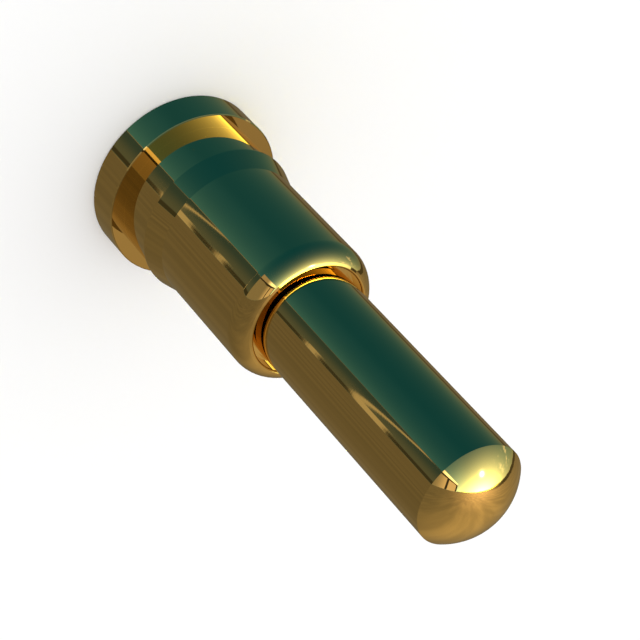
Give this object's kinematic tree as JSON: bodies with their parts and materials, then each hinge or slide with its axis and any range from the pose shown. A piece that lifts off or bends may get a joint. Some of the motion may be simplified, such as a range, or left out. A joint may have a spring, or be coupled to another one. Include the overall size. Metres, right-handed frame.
{
  "type": "pogo pin",
  "caption": "Spring-loaded contact pin with a domed plunger that slides in a flanged, gold-plated barrel and is soldered to a board by its flat foot.",
  "frame": {"origin": "centre of the flat solder face of the barrel's flange", "axes": "+Z along the pin's axis, from the solder face towards the contact tip"},
  "size_m": [0.0024, 0.0024, 0.0072],
  "materials": {
    "gold_plate": "turned brass with bright gold plating",
    "spring_wire": "drawn spring steel wire, ground ends"
  },
  "bodies": {
    "barrel": {"barrel": "gold_plate", "spring": "spring_wire"},
    "plunger": {"plunger": "gold_plate"}
  },
  "joints": [
    {"name": "plunger_slide", "type": "slide", "parent": "barrel", "child": "plunger", "axis": [0, 0, -1], "range_m": [0, 0.0014], "stiffness_N_per_m": 800, "deforming": ["spring"]}
  ]
}
